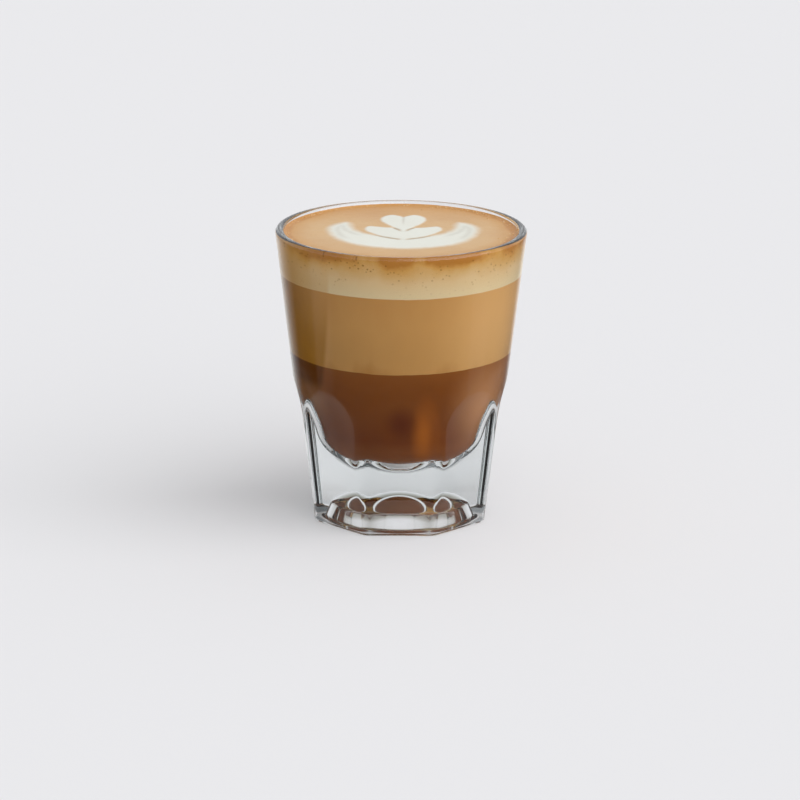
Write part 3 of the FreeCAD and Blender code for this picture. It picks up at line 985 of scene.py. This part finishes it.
def make_layers():
    """The three layers under the crema."""
    milk_coffee = layer_rows(MILK_COFFEE_BOTTOM, FOAM_BOTTOM)
    foam = layer_rows(FOAM_BOTTOM, CREMA_BOTTOM)
    for node, slot, rows, look, colour_of, roughness in (
        ("espresso", "espresso", espresso_rows(), "espresso_liquid", espresso_colour, 0.5),
        ("milk_coffee", "milk_coffee", milk_coffee, "milk_coffee_liquid", milk_coffee_colour, 0.5),
        ("foam", "milk_foam", foam, "foam_froth", froth_side, 0.6),
    ):
        material = drink_material(look, colour_of, roughness)
        add_piece(tube_mesh(f"{node}_layer", rows), material, [node])


def make_surface():
    """The crema and the pattern in it, cut from one grid so that they meet without a seam."""
    points = disc_grid()
    white, line, reach = pattern_fields(points)
    heights = surface_heights(points, white, line)
    sunk = SINK_DEPTH * soft_step(reach + SINK_MARGIN, SINK_EDGE)
    crema = crema_mesh(points, heights, white, line, sunk)
    pattern = pattern_mesh(points, heights, white, line, reach > -PATTERN_MARGIN)
    add_piece(crema, crema_material(), ["crema"])
    add_piece(pattern, pattern_material(), ["foam_art"])
    add_piece(bubble_mesh(), bubble_material(), [], creased=False)


add_piece(tube_mesh("tumbler", glass_rows()), glass_material(), ["glass"], creased=False)
make_layers()
make_surface()

# ---------------------------------------------------------------- stage, light and camera

BACKDROP = srgb(231, 231, 234)
SKY_STOPS = [(0.0, BACKDROP), (0.35, BACKDROP), (0.75, srgb(173, 172, 166)), (1.0, srgb(142, 141, 132))]
SKY_LIGHT = 0.74
SKY_LEAN = 0.30  # how much brighter the sky is at the far right than in the middle
KEY_DIRECTION = Vector((0.80, -0.66, 0.90))  # from the glass to the lamp
KEY_SPREAD = math.radians(80)
KEY_STRENGTH = 2.15

TABLE_HALF = 8.0
TABLE_COLOUR = (0.79, 0.79, 0.81, 1)

CARD_INNER = 42 * MM
CARD_OUTER = 1.5
CARD_HEIGHT = 1 * MM
CARD_SIDES = 72
GLARE_NEAR = 82 * MM  # what the flat panels mirror lies nearer, what the wall above does farther
GLARE_FADE = 15 * MM
GLARE_NEAR_LEVEL = 2.0
GLARE_FAR_LEVEL = 0.9
GLARE = [  # degrees from the camera's side, positive to the right; how bright the card is there
    (-180, 1.00),
    (-150, 1.00),
    (-120, 0.06),
    (-92, 0.015),
    (-88, 0.20),
    (-70, 0.20),
    (-66, 0.06),
    (-18, 0.025),
    (60, 0.015),
    (67, 0.025),
    (70, 0.20),
    (88, 0.20),
    (94, 0.11),
    (140, 0.22),
    (155, 1.00),
    (180, 1.00),
]

CAMERA_DISTANCE = 1.3
CAMERA_RISE = math.radians(15.7)
CAMERA_ROLL = math.radians(0.32)
CAMERA_AIM = Vector((-0.00006, 0, 0.0326))
CAMERA_LENS, CAMERA_SENSOR = 209.25, 36  # mm
CAMERA_REACH = 50


def make_world():
    """Soft light for the surfaces, stronger from the right, and the pale backdrop for whatever
    looks past them."""
    world = bpy.data.worlds.new("studio")
    bpy.context.scene.world = world
    world.cycles.sampling_method = "NONE"
    tree = Tree(world, "ShaderNodeOutputWorld")
    toward = tree.place("Generated")
    level = tree.math("MULTIPLY_ADD", tree.along("X", toward), SKY_LEAN, SKY_LIGHT)
    light = tree.add("ShaderNodeBackground", "Background", {"Strength": level})
    sky = tree.ramp(tree.along("Z", toward), SKY_STOPS)
    seen = tree.add("ShaderNodeBackground", "Background", {"Color": sky})
    bounces = tree.add("ShaderNodeLightPath", "Diffuse Depth")
    tree.end(Surface=tree.mix(tree.math("MINIMUM", bounces, 1.0), seen, light))


def make_table():
    """A plain pale table top, wide enough to fill every view."""
    half = TABLE_HALF
    corners = [(-half, -half, 0), (half, -half, 0), (half, half, 0), (-half, half, 0)]
    mesh = new_mesh("floor", corners, [(0, 1, 2, 3)])
    floor = add_object("floor", mesh)
    material, tree = new_material("pale_table")
    tree.end(Surface=tree.principled(TABLE_COLOUR, 0.8, 0.0))
    mesh.materials.append(material)


def make_card():
    """A ring on the table that only reflections see, in place of the table's own glare: bright
    behind the glass, less so at its sides, where the side panels mirror it, and dark elsewhere."""
    material, tree = new_material("glare_card")
    at = tree.place()
    toward_camera = tree.math("MULTIPLY", tree.along("Y", at), -1.0)
    turn = tree.math("ARCTAN2", tree.along("X", at), toward_camera)
    share = tree.math("MULTIPLY_ADD", turn, 1 / (2 * math.pi), 0.5)
    stops = [(angle / 360 + 0.5, (level, level, level, 1)) for angle, level in GLARE]
    away = tree.vector("LENGTH", at, result="Value")
    far = GLARE_NEAR + GLARE_FADE
    level = tree.fade(away, GLARE_NEAR, far, GLARE_NEAR_LEVEL, GLARE_FAR_LEVEL)
    glow = {"Color": tree.ramp(share, stops), "Strength": level}
    tree.end(Surface=tree.add("ShaderNodeEmission", "Emission", glow))
    angles = np.linspace(0, 2 * math.pi, CARD_SIDES + 1)[:-1]
    rows = [ring(angles, radius, CARD_HEIGHT) for radius in (CARD_INNER, CARD_OUTER)]
    mesh = tube_mesh("glare_card", rows, capped=False)
    mesh.materials.append(material)
    card = add_object("glare_card", mesh)
    for kind in ("camera", "diffuse", "transmission", "shadow", "volume_scatter"):
        setattr(card, f"visible_{kind}", False)


def make_key():
    """The one lamp: broad and soft, from the upper right. It leaves a faint shadow at the left."""
    data = bpy.data.lights.new("key", "SUN")
    data.energy = KEY_STRENGTH
    data.angle = KEY_SPREAD
    lamp = add_object("key", data)
    lamp.rotation_euler = KEY_DIRECTION.to_track_quat("Z", "Y").to_euler()
    lamp.visible_transmission = False


def make_camera():
    """The camera, which looks down on the glass from the front, with a slight roll."""
    back = Vector((0, -math.cos(CAMERA_RISE), math.sin(CAMERA_RISE)))
    level = Vector((1, 0, 0))
    upright = level.cross(-back)
    right = level * math.cos(CAMERA_ROLL) + upright * math.sin(CAMERA_ROLL)
    up = upright * math.cos(CAMERA_ROLL) - level * math.sin(CAMERA_ROLL)
    data = bpy.data.cameras.new("camera")
    data.sensor_width = CAMERA_SENSOR
    data.lens = CAMERA_LENS
    data.clip_end = CAMERA_REACH
    camera = add_object("camera", data)
    turn = Matrix((right, up, back)).transposed()
    camera.matrix_world = Matrix.Translation(CAMERA_AIM + back * CAMERA_DISTANCE) @ turn.to_4x4()
    bpy.context.scene.camera = camera


make_world()
make_table()
make_card()
make_key()
make_camera()
bpy.context.scene.view_settings.view_transform = "Standard"
